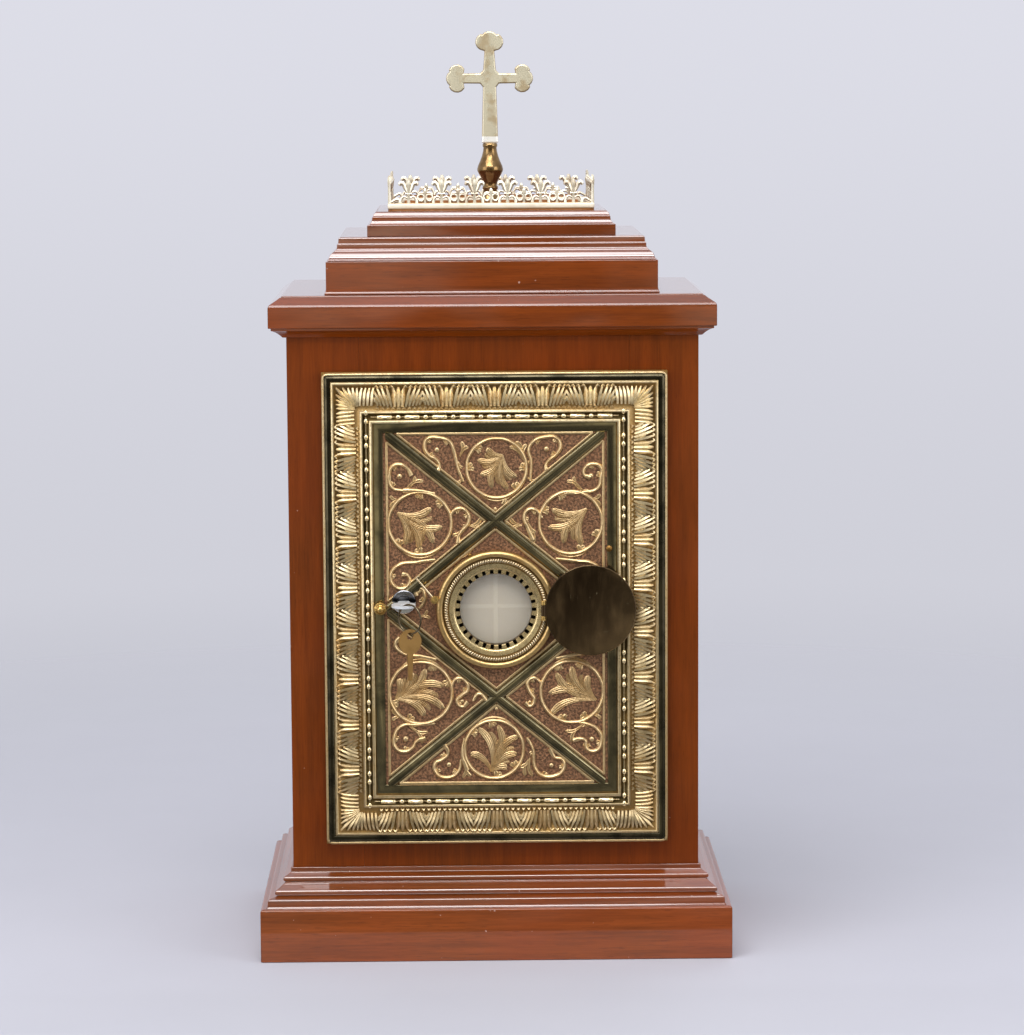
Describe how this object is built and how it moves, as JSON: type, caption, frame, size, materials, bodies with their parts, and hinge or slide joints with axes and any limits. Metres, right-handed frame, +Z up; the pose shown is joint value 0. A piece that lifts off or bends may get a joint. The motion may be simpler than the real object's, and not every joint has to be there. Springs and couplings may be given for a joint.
{
  "type": "altar tabernacle",
  "caption": "Free-standing wooden altar tabernacle with a stepped top, cross, pierced brass gallery and a hinged cast brass door with a covered viewing window and cam lock.",
  "frame": {"origin": "centre of the plinth's underside", "axes": "+Z up, -Y out of the door's front, +X to the hinge side of the door"},
  "size_m": [0.395, 0.3028, 0.7729],
  "materials": {
    "walnut_veneer": "polished",
    "plinth_wood": "polished",
    "inner_wood": "plain sawn",
    "cast_brass": "cast and rubbed",
    "copper_brass": "stippled and toned",
    "bright_brass": "polished",
    "dark_brass": "mirror polished",
    "steel": "plain",
    "chrome": "bright",
    "clear_glass": "clear",
    "wafer": "matte"
  },
  "bodies": {
    "cabinet": {"plinth_board_front": "plinth_wood", "plinth_board_right": "plinth_wood", "plinth_board_rear": "plinth_wood", "plinth_board_left": "plinth_wood", "bottom_board": "inner_wood", "base_moulding_front": "walnut_veneer", "base_moulding_right": "walnut_veneer", "base_moulding_rear": "walnut_veneer", "base_moulding_left": "walnut_veneer", "left_side_panel": "walnut_veneer", "right_side_panel": "walnut_veneer", "back_panel": "walnut_veneer", "front_stile_left": "walnut_veneer", "front_stile_right": "walnut_veneer", "front_rail_bottom": "walnut_veneer", "front_rail_top": "walnut_veneer", "cabinet_floor": "inner_wood", "top_board": "walnut_veneer", "cornice_moulding_front": "walnut_veneer", "cornice_moulding_right": "walnut_veneer", "cornice_moulding_rear": "walnut_veneer", "cornice_moulding_left": "walnut_veneer", "frieze_box": "walnut_veneer", "step_moulding": "walnut_veneer", "cap_block": "walnut_veneer", "gallery_front": "bright_brass", "gallery_right": "bright_brass", "gallery_rear": "bright_brass", "gallery_left": "bright_brass", "altar_cross": "bright_brass", "cross_knop": "cast_brass", "upper_hinge_cabinet_leaf": "cast_brass", "lower_hinge_cabinet_leaf": "cast_brass"},
    "door": {"door_core": "steel", "door_frame_top": "cast_brass", "door_frame_bottom": "cast_brass", "door_frame_left": "cast_brass", "door_frame_right": "cast_brass", "door_panel": "copper_brass", "window_collar": "cast_brass", "window_bezel": "cast_brass", "window_glass": "clear_glass", "host_disc": "wafer", "host_case": "cast_brass", "cover_bracket": "cast_brass", "catch_post": "bright_brass", "lock_cylinder": "chrome", "lock_nut": "chrome", "pull_knob": "bright_brass", "upper_hinge_door_leaf": "cast_brass", "lower_hinge_door_leaf": "cast_brass"},
    "cover": {"viewing_cover": "dark_brass"},
    "catch": {"catch_hook": "bright_brass"},
    "lock_plug": {"lock_plug": "chrome", "lock_cam": "steel"},
    "key": {"door_key": "chrome"},
    "key_ring": {"key_ring": "steel"},
    "spare_key": {"spare_key": "bright_brass"},
    "case_lid": {"host_case_lid": "cast_brass"}
  },
  "joints": [
    {"name": "door_swing", "type": "hinge", "parent": "cabinet", "child": "door", "pos_m": [0.1402, -0.1162, 0.2953], "axis": [0, 0, 1], "range_deg": [0, 110]},
    {"name": "cover_swing", "type": "hinge", "parent": "door", "child": "cover", "pos_m": [0.0404, -0.1316, 0.2953], "axis": [0, 0, -1], "range_deg": [0, 180]},
    {"name": "catch_turn", "type": "hinge", "parent": "door", "child": "catch", "pos_m": [-0.0496, -0.1338, 0.3055], "axis": [0, 1, 0], "range_deg": [0, 130]},
    {"name": "lock_turn", "type": "hinge", "parent": "door", "child": "lock_plug", "pos_m": [-0.0751, -0.128, 0.3028], "axis": [0, 1, 0], "range_deg": [0, 90]},
    {"name": "key_withdraw", "type": "slide", "parent": "lock_plug", "child": "key", "axis": [0, -1, 0], "range_m": [0, 0.026]},
    {"name": "ring_hang", "type": "hinge", "parent": "key", "child": "key_ring", "pos_m": [-0.0751, -0.153, 0.3028], "axis": [0, 1, 0], "range_deg": [-90, 0]},
    {"name": "spare_key_swing", "type": "hinge", "parent": "key_ring", "child": "spare_key", "pos_m": [-0.07, -0.15726, 0.281], "axis": [0.7659, -0.6429, 0], "range_deg": [-15, 15]},
    {"name": "case_lid_swing", "type": "hinge", "parent": "door", "child": "case_lid", "pos_m": [-0.0398, -0.0947, 0.2953], "axis": [0, 0, 1], "range_deg": [0, 100]}
  ],
  "couplings": [
    {"joint": "ring_hang", "follows": "lock_turn", "ratio": -1}
  ]
}
